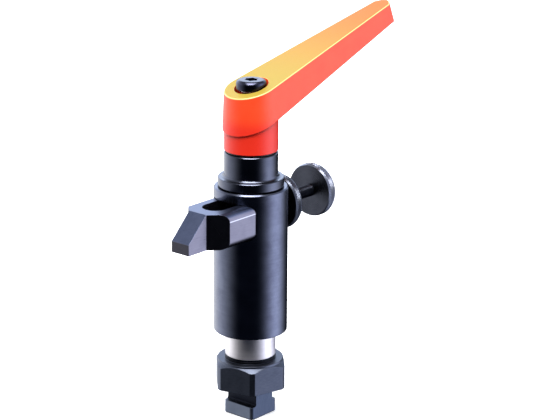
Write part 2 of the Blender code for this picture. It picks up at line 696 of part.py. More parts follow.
def make_lever_spring(material):
    """The small spring that pulls the lever down onto the serration."""
    coil_radius = LEVER_SPRING_DIAMETER / 2 - LEVER_SPRING_WIRE / 2
    low = WEB_TOP + FIT_GAP
    high = SCREW_HEAD_SEAT - FIT_GAP
    spring = coil("lever_spring", LEVER_SPRING_WIRE, coil_radius, low, high, LEVER_SPRING_TURNS, COIL_STEPS)
    finish(spring, material)


def knurled_disc(name, diameter, front, back):
    """A disc on the rod with chamfered rims."""
    outer = diameter / 2
    inner = ROD_DIAMETER / 2 + RUNNING_GAP
    edge = KNURL_CHAMFER
    profile = [(inner, front), (outer - edge, front), (outer, front + edge), (outer, back - edge),
               (outer - edge, back), (inner, back)]
    disc = turned(name, profile, ROUND_STEPS)
    lay_along_y(disc, ROD_LEVEL)
    return disc


def make_stop_nut(material):
    """The knurled nut that sets how far the arm reaches."""
    back = STOP_NUT_DISTANCE + STOP_NUT_THICKNESS
    nut = knurled_disc("stop_nut", STOP_NUT_DIAMETER, STOP_NUT_DISTANCE, back)
    set_origin(nut, (0, STOP_NUT_DISTANCE, ROD_LEVEL))
    finish(nut, material)


def make_pull_knob(material):
    """The knurled knob that pulls the arm back."""
    knob = knurled_disc("pull_knob", KNOB_DIAMETER, KNOB_DISTANCE, KNOB_DISTANCE + KNOB_THICKNESS)
    finish(knob, material)


def make_knob_rod(material):
    """The threaded rod from the arm's tail to the knob."""
    radius = ROD_DIAMETER / 2
    start = ROD_START
    end = KNOB_DISTANCE + KNOB_THICKNESS - FIT_GAP
    profile = [(radius - ROD_CHAMFER, start), (radius, start + ROD_CHAMFER), (radius, end - ROD_CHAMFER),
               (radius - ROD_CHAMFER, end)]
    rod = solid_round("knob_rod", profile, SMALL_ROUND_STEPS)
    lay_along_y(rod, ROD_LEVEL)
    finish(rod, material)


def build():
    """Builds the whole clamp."""
    clear_scene()
    make_t_slot_nut(make_material("slot_nut_steel", BLACKENED_STEEL, 0.9, 0.35))
    make_foot_stud(make_material("foot_stud_steel", BLACKENED_STEEL, 0.9, 0.4))
    make_guide_column(make_material("column_steel", GROUND_STEEL, 1.0, 0.2))
    make_clamp_stud(make_material("clamp_stud_steel", BLACKENED_STEEL, 0.9, 0.4))
    make_return_spring(make_material("return_spring_wire", SPRING_STEEL, 1.0, 0.3))
    make_spring_plate(make_material("plate_steel", HARDENED_STEEL, 1.0, 0.35))
    make_clamp_body(make_material("body_steel", BLACKENED_STEEL, 0.9, 0.3))
    make_clamp_arm(make_material("arm_steel", BLACKENED_STEEL, 0.9, 0.4))
    make_thrust_washer(make_material("washer_steel", HARDENED_STEEL, 1.0, 0.25))
    make_flange_nut(make_material("flange_nut_steel", BLACKENED_STEEL, 0.9, 0.3))
    make_lever_handle(make_material("lever_coating", LEVER_COATING, 0.0, 0.45))
    make_lever_screw(make_material("screw_steel", BLACKENED_STEEL, 0.9, 0.3))
    make_lever_spring(make_material("lever_spring_wire", SPRING_STEEL, 1.0, 0.3))
    make_knob_rod(make_material("rod_steel", BLACKENED_STEEL, 0.9, 0.4))
    make_stop_nut(make_material("stop_nut_steel", BLACKENED_STEEL, 0.9, 0.3))
    make_pull_knob(make_material("knob_steel", BLACKENED_STEEL, 0.9, 0.25))


build()
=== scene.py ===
"""Looks of the swing clamp: turned and milled black steel, ground column, coated lever, studio and camera."""
import math

import bpy
from mathutils import Matrix, Vector


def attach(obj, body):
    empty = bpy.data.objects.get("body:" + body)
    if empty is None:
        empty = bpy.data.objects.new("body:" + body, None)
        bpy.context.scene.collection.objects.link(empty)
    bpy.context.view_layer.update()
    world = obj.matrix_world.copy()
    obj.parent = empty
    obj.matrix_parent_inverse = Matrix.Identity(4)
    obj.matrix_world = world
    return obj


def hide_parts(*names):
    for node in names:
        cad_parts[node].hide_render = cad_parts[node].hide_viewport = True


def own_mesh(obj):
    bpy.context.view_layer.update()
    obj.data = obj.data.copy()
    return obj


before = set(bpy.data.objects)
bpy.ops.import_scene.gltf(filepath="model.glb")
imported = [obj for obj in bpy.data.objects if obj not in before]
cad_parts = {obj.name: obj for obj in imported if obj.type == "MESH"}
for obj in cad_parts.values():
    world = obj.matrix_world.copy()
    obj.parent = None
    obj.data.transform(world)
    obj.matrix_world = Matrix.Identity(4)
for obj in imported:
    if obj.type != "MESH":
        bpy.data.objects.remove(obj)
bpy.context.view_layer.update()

# Photograph and camera
PHOTO_WIDTH_PX = 560
FOCAL_LENGTH_PX = 2143
SENSOR_WIDTH = 36.0
CAMERA_PLACE = Vector((0.62972, -0.72594, 0.39892))
CAMERA_VIEW = Vector((-0.61567, 0.73049, -0.29540))
CAMERA_ROLL = math.radians(0.466)
CAMERA_BEARING = math.radians(-49.1)

# Facets of the smooth pieces
ROUND = 128
SMALL_ROUND = 64
BODY_ROUND = 160
HEXAGON_ROUND = 192
SCREW_ROUND = 96
BEVEL_SEGMENTS = 3
SMOOTH_ANGLE = 38
KNURL_SMOOTH_ANGLE = 12

# Gaps and tolerances
FIT_GAP = 0.0003
RUNNING_GAP = 0.0001
MARGIN = 0.0010
EDGE_BREAK = 0.0002
CUT_REACH = 0.02
NEAR = 1e-5
OFF_CENTRE = 1e-4
WELD_DISTANCE = 1e-7

# T-slot nut and hexagon
SLOT_NUT_WIDTH = 0.0180
NECK_WIDTH = 0.0120
HEAD_HEIGHT = 0.0065
NECK_TOP = 0.0145
NECK_FILLET = 0.0010
NUT_CORNER = 0.0016
NUT_CHAMFER = 0.0005
NUT_EDGE = 0.00022
FOOT_STUD_BOTTOM = 0.0008
FOOT_STUD_TOP = 0.0516
STUD_RADIUS = 0.0050
STUD_PITCH = 0.0015
STUD_THREAD_DEPTH = 0.0008
HEXAGON_BOTTOM = 0.0148
HEXAGON_FACE = 0.0286
RING_FOOT = 0.0277
RING_RADIUS = 0.0157
CORNER_RADIUS = 0.0178
CORNER_TOP = 0.0260
HALF_FLATS = 0.0160
HEXAGON_EDGE = 0.00026
HEXAGON_TURN = math.radians(14.3)
COLLAR_RADIUS = 0.0122
COLLAR_TOP = 0.0296
RELIEF_RADIUS = 0.0118
COLUMN_BOTTOM = 0.0306
COLUMN_TOP = 0.0786
COLUMN_RADIUS = 0.0121
COLUMN_CHAMFER = 0.0008
COLUMN_FOOT_CHAMFER = 0.00015
POCKET_FLOOR = 0.0661
POCKET_RADIUS = 0.0089
STUD_BOTTOM = 0.0536
STUD_TOP = 0.1317
PLATE_BOTTOM = 0.0903
PLATE_TOP = 0.0916
PLATE_RADIUS = 0.0105
RETURN_WIRE = 0.0016
RETURN_COIL_RADIUS = 0.0078
RETURN_TURNS = 5

# Body, arm and washer
BODY_RADIUS = 0.0175
BODY_BORE = 0.0122
BODY_CHAMFER = 0.0006
BODY_EDGE = 0.00015
BODY_BOTTOM = 0.0429
BODY_TOP = 0.1139
RECESS_RADIUS = 0.0138
RECESS_FLOOR = 0.1123
ARM_CENTRE = 0.1004
ARM_CORNER = 0.0038
ARM_HALF_WIDTH = 0.0130
ARM_HALF_HEIGHT = 0.0085
ARM_REACH = 0.0489
ARM_TAIL = 0.0130
TAIL_CHAMFER = 0.0020
NOSE_HALF_WIDTH = 0.0053
NOSE_HEIGHT = 0.0052
SLOT_RADIUS = 0.0060
SLOT_TRAVEL = 0.0250
ARM_EDGE = 0.00034
WASHER_BOTTOM = 0.1124
WASHER_TOP = 0.1141
WASHER_RADIUS = 0.0135

# Flange nut
FLANGE_BOTTOM = 0.1142
FLANGE_TOP = 0.1185
FLANGE_RADIUS = 0.0156
FLANGE_CHAMFER = 0.0003
FLANGE_EDGE = 0.0001
SHOULDER = 0.0015
SLEEVE_RADIUS = 0.0127
SLEEVE_CHAMFER = 0.0004
SEAM = 0.1304
JOURNAL_RADIUS = 0.0090
TEETH_FOOT = 0.1490
TEETH_RADIUS = 0.0082
TEETH_DEPTH = 0.0008
TEETH_COUNT = 20
NUT_TOP = 0.1520
MAIN_THREAD_TOP = 0.1442

# Lever, its screw and its spring
LEVER_TURN = math.radians(-4.7)
LEVER_LENGTH = 0.0919
TOP_BASE = 0.1618
LOW_BASE = 0.1449
TOP_SLOPE = math.radians(16.7)
LOW_SLOPE = math.radians(20.6)
HUB_LOW_RADIUS = 0.01345
TIP_TOP_HALF = 0.0050
TIP_LOW_HALF = 0.0059
TIP_POINT = 0.0036
TIP_LEAN = 0.0030
TIP_NARROWING = 0.70
LEVER_EDGE = 0.0006
SEAM_RECESS = 0.0007
COUNTERBORE_RADIUS = 0.0080
WEB_TOP = 0.1538
SCREW_SEAT = 0.1603
LEVER_WIRE = 0.0009
LEVER_COIL_RADIUS = 0.00505
LEVER_SPRING_TURNS = 2.5
SCREW_HEAD_RADIUS = 0.0072
SCREW_HEAD_TOP = 0.1647
SCREW_ROUNDING = 0.0019
SCREW_RADIUS = 0.0030
SCREW_END = 0.1452
SCREW_CHAMFER = 0.0004
SCREW_EDGE = 0.00012
DRIVE_DEPTH = 0.0028
DRIVE_CORE = 0.00265
DRIVE_LOBE = 0.00068
DRIVE_REACH = 0.0033

# Rod, stop nut and knob
ROD_LEVEL = 0.1018
ROD_RADIUS = 0.0030
ROD_PITCH = 0.0010
ROD_THREAD_DEPTH = 0.00055
ROD_START = 0.0062
ROD_END = 0.0475
STOP_NUT_FRONT = 0.0178
STOP_NUT_BACK = 0.0223
STOP_NUT_RADIUS = 0.0135
KNOB_FRONT = 0.0430
KNOB_BACK = 0.0478
KNOB_RADIUS = 0.0130
KNURL_CHAMFER = 0.0006
KNURL_DEPTH = 0.00034
KNURL_PITCH = 0.00125

# Finishes and the colours of painted light and shade: the darker and the lighter colour of each
BODY_OXIDE = ((0.075, 0.082, 0.115, 1.0), (0.105, 0.115, 0.155, 1.0))
FLANGE_OXIDE = ((0.056, 0.061, 0.083, 1), (0.078, 0.084, 0.108, 1))
SCREW_OXIDE = ((0.020, 0.021, 0.034, 1), (0.030, 0.031, 0.046, 1))
THREAD_OXIDE = ((0.03, 0.033, 0.045, 1), (0.06, 0.065, 0.085, 1))
KNOB_OXIDE = ((0.18, 0.19, 0.24, 1), (0.26, 0.275, 0.335, 1))
STOP_NUT_OXIDE = ((0.085, 0.092, 0.120, 1), (0.130, 0.140, 0.172, 1))
GROUND_WASHER = ((0.28, 0.29, 0.32, 1), (0.36, 0.37, 0.40, 1))
GROUND_COLUMN = ((0.64, 0.605, 0.61, 1), (0.77, 0.735, 0.735, 1))
HEXAGON_OXIDE = ((0.056, 0.064, 0.088, 1), (0.084, 0.094, 0.124, 1))
ARM_OXIDE = ((0.118, 0.114, 0.144, 1), (0.168, 0.162, 0.196, 1))
MILLED_NUT = ((0.030, 0.040, 0.066, 1.0), (0.085, 0.105, 0.150, 1.0))
HEAD_OXIDE = ((0.13, 0.155, 0.205, 1.0), (0.18, 0.205, 0.26, 1.0))
SPRING_STEEL = ((0.38, 0.39, 0.42, 1), (0.48, 0.49, 0.52, 1))
# painted light: a yellow lit tone for the lever's slanted top, fading to orange at the tip
LEVER_TOP_PAINTED_LIGHT = ((0.285, 0.200, 0.022, 1.0), (0.37, 0.100, 0.010, 1.0))
LEVER_SIDE = ((0.86, 0.052, 0.012, 1.0), (0.90, 0.074, 0.020, 1.0))
# painted shade: a darker red for the barrel below the hub, and the heights over which it fades in
BARREL_PAINTED_SHADE = (0.76, 0.028, 0.012, 1.0)
BARREL_SHADE_FADE = (0.1500, 0.1420)
# painted highlight: light yellow for the rounded rim between the lever's top and sides
LEVER_RIM_PAINTED_HIGHLIGHT = (0.74, 0.52, 0.20, 1.0)
# painted shade: black for the recess at the foot of the lever's barrel
SEAM_PAINTED_SHADE = (0.004, 0.003, 0.004, 1.0)
# painted shade: black for the T-slot nut's neck flanks under the hexagon
FLANK_PAINTED_SHADE = (0.012, 0.014, 0.022, 1.0)
BLACK_COLLAR = (0.008, 0.009, 0.012, 1.0)
# painted highlight: a light line on the arm's corner rounding, and how it fades off the line and off the side
PAINTED_HIGHLIGHT_LINE = (0.46, 0.46, 0.50, 1.0)
PAINTED_HIGHLIGHT_FADE = (0.00034, 0.00012)
PAINTED_HIGHLIGHT_SIDE_FADE = (0.0006, 0.0002)
# painted reflection: a bluish tint for faces of the arm that look up
UPWARD_PAINTED_REFLECTION = (0.60, 0.74, 0.98, 1.0)
FLOOR_WHITE = ((0.86, 0.86, 0.86, 1), (0.90, 0.90, 0.90, 1))
FLOOR_GLOW = 0.4
FLOOR_SIZE = 8
COARSE_RING_SCALE = 900.0
MARK_HEIGHT = 0.00002
MILLED_MARK_HEIGHT = 0.00003
NUT_MARK_HEIGHT = 0.00004
PEEL_HEIGHT = 0.00008

# Studio panels: bearing from the camera in degrees to the right, narrowness, colour
RIGHT_PANEL = (86, 7.0, (2.65, 2.8, 3.4, 1.0))
LEFT_PANEL = (-122, 2.6, (2.2, 2.25, 2.38, 1.0))
BACK_PANEL = (180, 2.5, (1.5, 1.8, 2.4, 1.0))
HORIZON_GAIN = 1.6
LOW_GLOW = (0.010, 0.014, 0.026, 1.0)
CEILING_GLOW = (0.55, 0.57, 0.62, 1.0)

# Soft lights: name, bearing from the camera and height in degrees, distance, width, length, power
SOFTBOXES = (("overhead_light", 0, 84, 1.3, 0.90, 0.90, 21),
             ("front_light", -10, 60, 1.5, 1.1, 0.6, 31),
             ("edge_light", -23, 35, 1.5, 0.28, 0.28, 2.6))
LIGHT_AIM = (0, 0, 0.12)
LIGHT_FOOT = 0.1


def make_active(piece):
    """Selects one piece and nothing else."""
    bpy.ops.object.select_all(action="DESELECT")
    piece.select_set(True)
    bpy.context.view_layer.objects.active = piece


def edit_mode(piece=None):
    """Into edit mode with everything selected."""
    if piece:
        make_active(piece)
    bpy.ops.object.mode_set(mode="EDIT")
    bpy.ops.mesh.select_all(action="SELECT")


def object_mode():
    """Back to object mode."""
    bpy.ops.object.mode_set(mode="OBJECT")


def select_points(piece, wanted):
    """Selects the vertices whose place answers the question, and leaves edit mode on."""
    bpy.ops.object.mode_set(mode="EDIT")
    bpy.ops.mesh.select_mode(type="VERT")
    bpy.ops.mesh.select_all(action="DESELECT")
    object_mode()
    for vertex in piece.data.vertices:
        vertex.select = wanted(vertex.co)
    bpy.ops.object.mode_set(mode="EDIT")


def select_edges(piece, wanted):
    """Selects the edges whose two ends answer the question, and leaves edit mode on."""
    bpy.ops.object.mode_set(mode="EDIT")
    bpy.ops.mesh.select_mode(type="EDGE")
    bpy.ops.mesh.select_all(action="DESELECT")
    object_mode()
    places = [vertex.co for vertex in piece.data.vertices]
    for edge in piece.data.edges:
        edge.select = wanted(places[edge.vertices[0]], places[edge.vertices[1]])
    bpy.ops.object.mode_set(mode="EDIT")


def name_new(name):
    """Names the primitive that was just added and puts its place into its mesh."""
    piece = bpy.context.object
    piece.name = name
    piece.data.name = name
    bpy.ops.object.transform_apply(location=True, rotation=True, scale=True)
    return piece


def apply_modifier(piece, kind, **settings):
    """Adds one modifier to the piece, sets it and applies it."""
    make_active(piece)
    bpy.ops.object.modifier_add(type=kind)
    modifier = piece.modifiers[-1]
    for setting, value in settings.items():
        setattr(modifier, setting, value)
    bpy.ops.object.modifier_apply(modifier=modifier.name)


def combine(piece, tool, operation="DIFFERENCE"):
    """Cuts the piece with a tool, or joins the tool to it."""
    apply_modifier(piece, "BOOLEAN", operation=operation, object=tool, solver="EXACT")
    bpy.data.objects.remove(tool)


def round_edges(piece, width, angle=math.radians(32), segments=BEVEL_SEGMENTS):
    """Rounds every edge that is sharper than the angle."""
    apply_modifier(piece, "BEVEL", width=width, segments=segments, limit_method="ANGLE", angle_limit=angle)


def bisect(place, normal, use_fill=True):
    """Cuts off what lies beyond a plane, in edit mode, and closes the cut if asked."""
    bpy.ops.mesh.select_all(action="SELECT")
    bpy.ops.mesh.bisect(plane_co=place, plane_no=normal, use_fill=use_fill, clear_outer=True,
                        threshold=WELD_DISTANCE)


def close_openings(bridge=False):
    """Closes the open outlines, each on its own or bridged, turns the faces outwards and leaves edit mode."""
    bpy.ops.mesh.select_mode(type="EDGE")
    bpy.ops.mesh.select_all(action="DESELECT")
    bpy.ops.mesh.select_non_manifold()
    if bridge:
        bpy.ops.mesh.bridge_edge_loops()
    else:
        bpy.ops.mesh.fill_holes(sides=0)
    bpy.ops.mesh.select_all(action="SELECT")
    bpy.ops.mesh.normals_make_consistent(inside=False)
    object_mode()


def cylinder(name, radius, depth, place, sides=SMALL_ROUND, lie=(0, 0, 0)):
    """A plain cylinder round its middle."""
    bpy.ops.object.select_all(action="DESELECT")
    bpy.ops.mesh.primitive_cylinder_add(vertices=sides, radius=radius, depth=depth, location=place,
                                        rotation=lie)
    return name_new(name)


def block(name, size, place):
    """A plain block round its middle."""
    bpy.ops.object.select_all(action="DESELECT")
    bpy.ops.mesh.primitive_cube_add(size=1, location=place, scale=size)
    return name_new(name)


def turned(name, profile, along="Z", level=0.0, segments=ROUND, hollow=False):
    """A turned piece: a circle extruded and resized along the steps of a (radius, distance) profile."""
    upright = along == "Z"
    radius, distance = profile[0]
    bpy.ops.object.select_all(action="DESELECT")
    place = (0, 0, distance) if upright else (0, distance, level)
    lie = (0, 0, 0) if upright else (math.pi / 2, 0, 0)
    bpy.ops.mesh.primitive_circle_add(vertices=segments, radius=radius, location=place, rotation=lie)
    piece = name_new(name)
    edit_mode()
    for next_radius, next_distance in profile[1:]:
        step = next_distance - distance
        shift = (0, 0, step) if upright else (0, step, 0)
        bpy.ops.mesh.extrude_edges_move(TRANSFORM_OT_translate={"value": shift})
        share = next_radius / radius
        scale = (share, share, 1) if upright else (share, 1, share)
        centre = (0, 0, next_distance) if upright else (0, next_distance, level)
        bpy.ops.transform.resize(value=scale, center_override=centre)
        radius, distance = next_radius, next_distance
    close_openings(hollow)
    return piece


def quarter(radius, centre, start, end, steps):
    """Points (radius, distance) on an arc of a profile."""
    points = []
    for step in range(steps + 1):
        angle = start + (end - start) * step / steps
        points.append((centre[0] + radius * math.cos(angle), centre[1] + radius * math.sin(angle)))
    return points


def arm_bar(name, grow, front, back):
    """A flat bar with round corners, laid along Y."""
    size = (2 * (ARM_HALF_WIDTH + grow), back - front, 2 * (ARM_HALF_HEIGHT + grow))
    bar = block(name, size, (0, (front + back) / 2, ARM_CENTRE))
    select_edges(bar, lambda a, b: abs(a.y - b.y) > MARGIN)
    bpy.ops.mesh.bevel(offset=ARM_CORNER + grow, segments=12)
    object_mode()
    return bar


def threaded(name, radius, pitch, depth, low, high, sides=20):
    """A threaded rod: an off-centre circle screwed along the axis and closed at both ends."""
    bpy.ops.object.select_all(action="DESELECT")
    bpy.ops.mesh.primitive_circle_add(vertices=sides, radius=radius - depth / 2,
                                      location=(depth / 2, 0, low))
    rod = name_new(name)
    turns = math.ceil((high - low) / pitch)
    apply_modifier(rod, "SCREW", axis="Z", angle=2 * math.pi, screw_offset=pitch, iterations=turns,
                   steps=sides, render_steps=sides, use_merge_vertices=False)
    edit_mode(rod)
    bisect((0, 0, high), (0, 0, 1), use_fill=False)
    close_openings()
    return rod


def coil_spring(name, wire, coil_radius, low, high, turns):
    """A spring with ground ends: the wire's round section screwed up along the axis, its ends cut flat."""
    bpy.ops.object.select_all(action="DESELECT")
    pitch = (high - low - wire / 2) / turns
    start = low - pitch / 4
    bpy.ops.mesh.primitive_circle_add(vertices=16, radius=wire / 2, location=(coil_radius, 0, start),
                                      rotation=(math.pi / 2, 0, 0))
    spring = name_new(name)
    all_turns = turns + 0.75
    steps = int(48 * turns)
    apply_modifier(spring, "SCREW", axis="Z", angle=2 * math.pi * all_turns, screw_offset=pitch * all_turns,
                   iterations=1, steps=steps, render_steps=steps)
    edit_mode(spring)
    close_openings()
    ends = cylinder("ground_ends", coil_radius + 2 * wire, high - low, (0, 0, (low + high) / 2))
    combine(spring, ends, "INTERSECT")
    return spring


def turn_plan(piece, angle):
    """Turns a piece about the clamp's axis."""
    edit_mode(piece)
    bpy.ops.transform.rotate(value=-angle, orient_axis="Z", center_override=(0, 0, 0))
    object_mode()


class Channel:
    """A socket of a node tree; arithmetic on it adds Math nodes."""

    def __init__(self, sheet, socket):
        self.sheet = sheet
        self.socket = socket

    def __add__(self, other):
        return self.sheet.math("ADD", self, other)

    def __radd__(self, other):
        return self.sheet.math("ADD", other, self)

    def __sub__(self, other):
        return self.sheet.math("SUBTRACT", self, other)

    def __rsub__(self, other):
        return self.sheet.math("SUBTRACT", other, self)

    def __mul__(self, other):
        return self.sheet.math("MULTIPLY", self, other)

    def __truediv__(self, other):
        return self.sheet.math("DIVIDE", self, other)

    def __pow__(self, other):
        return self.sheet.math("POWER", self, other)


class Sheet:
    """A node tree that is being filled."""

    def __init__(self, tree):
        self.tree = tree
        tree.nodes.clear()

    def node(self, kind, settings=None, inputs=None, output=0):
        """Adds one node: its settings first, then the values or links of its sockets."""
        added = self.tree.nodes.new(kind)
        for setting, value in (settings or {}).items():
            setattr(added, setting, value)
        for key, value in (inputs or {}).items():
            socket = added.inputs[key]
            if isinstance(value, Channel):
                self.tree.links.new(value.socket, socket)
            else:
                socket.default_value = value
        return Channel(self, added.outputs[output]) if added.outputs else None

    def math(self, operation, first, second=0.0):
        """One Math node."""
        return self.node("ShaderNodeMath", {"operation": operation}, {0: first, 1: second})

    def parts(self, vector):
        """The three numbers of a vector."""
        split = self.node("ShaderNodeSeparateXYZ", inputs={0: vector})
        return [Channel(self, output) for output in split.socket.node.outputs]

    def place(self):
        """The point's place on the piece."""
        return self.node("ShaderNodeTexCoord", output="Object")

    def vector(self, x, y, z):
        """A vector from three numbers."""
        return self.node("ShaderNodeCombineXYZ", inputs={0: x, 1: y, 2: z})

    def noise(self, vector, scale=1.0, detail=2.0, rough=0.5):
        """Noise between 0 and 1."""
        return self.node("ShaderNodeTexNoise", inputs={"Vector": vector, "Scale": scale, "Detail": detail,
                                                       "Roughness": rough})

    def step(self, value, low, high, start=0.0, end=1.0):
        """A smooth step of a value from one bound to the other."""
        return self.node("ShaderNodeMapRange", {"interpolation_type": "SMOOTHSTEP"},
                         {0: value, 1: low, 2: high, 3: start, 4: end})

    def blend(self, share, first, second, mode="MIX"):
        """Two colours mixed."""
        return self.node("ShaderNodeMix", {"data_type": "RGBA", "blend_type": mode},
                         {0: share, 6: first, 7: second}, output=2)

    def bump(self, height, distance, strength=1.0):
        """A normal from a height."""
        return self.node("ShaderNodeBump", inputs={"Height": height, "Distance": distance,
                                                   "Strength": strength})


def new_material(name):
    """A new material and the sheet of its nodes."""
    material = bpy.data.materials.new(name)
    material.use_nodes = True
    sheet = Sheet(material.node_tree)
    return material, sheet


def close_material(sheet, inputs):
    """Principled shader and output node."""
    surface = sheet.node("ShaderNodeBsdfPrincipled", inputs=inputs)
    sheet.node("ShaderNodeOutputMaterial", inputs={"Surface": surface})


def radius_and_along(sheet, along, level):
    """Distance from a turned piece's axis, and distance along it."""
    x, y, z = sheet.parts(sheet.place())
    if along == "Z":
        return sheet.math("SQRT", x * x + y * y), z
    drop = z - level
    return sheet.math("SQRT", x * x + drop * drop), y


def turned_steel(name, colours, rough, marks, along="Z", level=0.0, mark_scale=3500.0,
                 face_painted_light=1.0, face_from=0.9, face_to=0.99):
    """Turned steel with a thin oxide: fine rings, faint clouds, and end faces painted lighter (painted light)
    or darker (painted shade) if asked.
    """
    material, sheet = new_material(name)
    radius, distance = radius_and_along(sheet, along, level)
    rings = sheet.noise(sheet.vector(radius * mark_scale, distance * mark_scale, 0.0), 1.0, 3.0, 0.6)
    coarse_place = sheet.vector(radius * COARSE_RING_SCALE, distance * COARSE_RING_SCALE, 0.0)
    coarse = sheet.noise(coarse_place, 1.0, 1.0)
    clouds = sheet.noise(sheet.place(), 160.0, 3.0)
    fine = sheet.noise(sheet.place(), 5200.0, 2.0)
    colour = sheet.blend(sheet.step(clouds * 0.8 + coarse * 0.2, 0.25, 0.75), *colours)
    # painted light and shade: end faces lighter or darker by the given share
    if face_painted_light != 1.0:
        facing = sheet.parts(sheet.node("ShaderNodeTexCoord", output="Normal"))["XYZ".index(along)]
        shade = sheet.step(sheet.math("ABSOLUTE", facing), face_from, face_to, 1.0, face_painted_light)
        colour = sheet.blend(1.0, colour, sheet.vector(shade, shade, shade), "MULTIPLY")
    roughness = rough + (rings - 0.5) * 0.04 + (clouds - 0.5) * 0.05
    height = rings * 0.8 + fine * 0.2
    close_material(sheet, {"Base Color": colour, "Metallic": 1.0, "Roughness": roughness,
                           "Normal": sheet.bump(height, MARK_HEIGHT, marks)})
    return material


def milled_steel(name, colours, rough, marks, grain, black_above=None, end_shade=1.0):
    """Milled steel: scratches drawn out along one direction, left black above a level.

    The arm, which has an end shade, gets painted shade on its front end and flanks, a painted bluish
    reflection where it looks up, and a painted highlight along the line where its rounded corner meets the
    side.
    """
    material, sheet = new_material(name)
    x, y, z = sheet.parts(sheet.place())
    lines = sheet.noise(sheet.vector(x * grain[0], y * grain[1], z * grain[2]), 1.0, 3.0, 0.6)
    clouds = sheet.noise(sheet.place(), 190.0, 3.0)
    fine = sheet.noise(sheet.place(), 4200.0, 2.0)
    colour = sheet.blend(sheet.step(clouds * 0.4 + lines * 0.6, 0.25, 0.75), *colours)
    if end_shade != 1.0:
        across, front, up = sheet.parts(sheet.node("ShaderNodeTexCoord", output="Normal"))
        # painted shade: the front end and the flanks darker
        shade = sheet.step(front + up, -0.50, -0.68, 1.0, end_shade)
        colour = sheet.blend(1.0, colour, sheet.vector(shade, shade, shade), "MULTIPLY")
        # painted reflection: faces that look up are tinted bluish
        colour = sheet.blend(sheet.step(up, 0.35, 0.68), colour, UPWARD_PAINTED_REFLECTION, "MULTIPLY")
        # painted highlight: a light line where the arm's rounded corner meets each side
        corner_line = sheet.math("ABSOLUTE", z - (ARM_CENTRE + ARM_HALF_HEIGHT - ARM_CORNER))
        edge = sheet.step(sheet.math("ABSOLUTE", x), *(ARM_HALF_WIDTH - inset for inset in PAINTED_HIGHLIGHT_SIDE_FADE))
        sideways = sheet.step(sheet.math("ABSOLUTE", across), 0.90, 0.97)
        highlight_line = sheet.step(corner_line, *PAINTED_HIGHLIGHT_FADE) * sideways * edge
        colour = sheet.blend(highlight_line, colour, PAINTED_HIGHLIGHT_LINE)
    if black_above:
        black = sheet.step(z, black_above, black_above + RUNNING_GAP)
        colour = sheet.blend(black, colour, BLACK_COLLAR)
    roughness = rough + (lines - 0.5) * 0.12 + (clouds - 0.5) * 0.04
    height = lines * 0.7 + fine * 0.3
    close_material(sheet, {"Base Color": colour, "Metallic": 1.0, "Roughness": roughness,
                           "Normal": sheet.bump(height, MILLED_MARK_HEIGHT, marks)})
    return material


def slot_nut_finish(name):
    """The T-slot nut: sawn and milled ends, painted shade on the flanks under the hexagon."""
    material, sheet = new_material(name)
    x, y, z = sheet.parts(sheet.place())
    facing = sheet.node("ShaderNodeTexCoord", output="Normal")
    end_face = sheet.step(sheet.math("ABSOLUTE", sheet.parts(facing)[0]), 0.55, 0.85)
    strokes = sheet.noise(sheet.vector(x * 300.0, y * 2600.0, z * 260.0), 1.0, 3.0, 0.6)
    clouds = sheet.noise(sheet.place(), 190.0, 3.0)
    # painted shade: the neck's flanks under the hexagon are black
    flank = sheet.step(z, HEAD_HEIGHT - FIT_GAP, HEAD_HEIGHT + FIT_GAP) * (1.0 - end_face)
    milled = sheet.blend(strokes, *MILLED_NUT)
    plain = sheet.blend(end_face, sheet.blend(clouds, *HEAD_OXIDE), milled)
    colour = sheet.blend(flank, plain, FLANK_PAINTED_SHADE)
    height = strokes * 0.7 + clouds * 0.3
    close_material(sheet, {"Base Color": colour, "Metallic": 1.0, "Roughness": 0.46 + (strokes - 0.5) * 0.12,
                           "Normal": sheet.bump(height, NUT_MARK_HEIGHT, 0.5)})
    return material


def spring_wire(name):
    """Drawn spring wire."""
    material, sheet = new_material(name)
    grain = sheet.noise(sheet.place(), 2600.0, 2.0)
    clouds = sheet.noise(sheet.place(), 300.0, 2.0)
    close_material(sheet, {"Base Color": sheet.blend(clouds, *SPRING_STEEL), "Metallic": 1.0,
                           "Roughness": 0.28 + grain * 0.12, "Normal": sheet.bump(grain, MARK_HEIGHT, 0.4)})
    return material


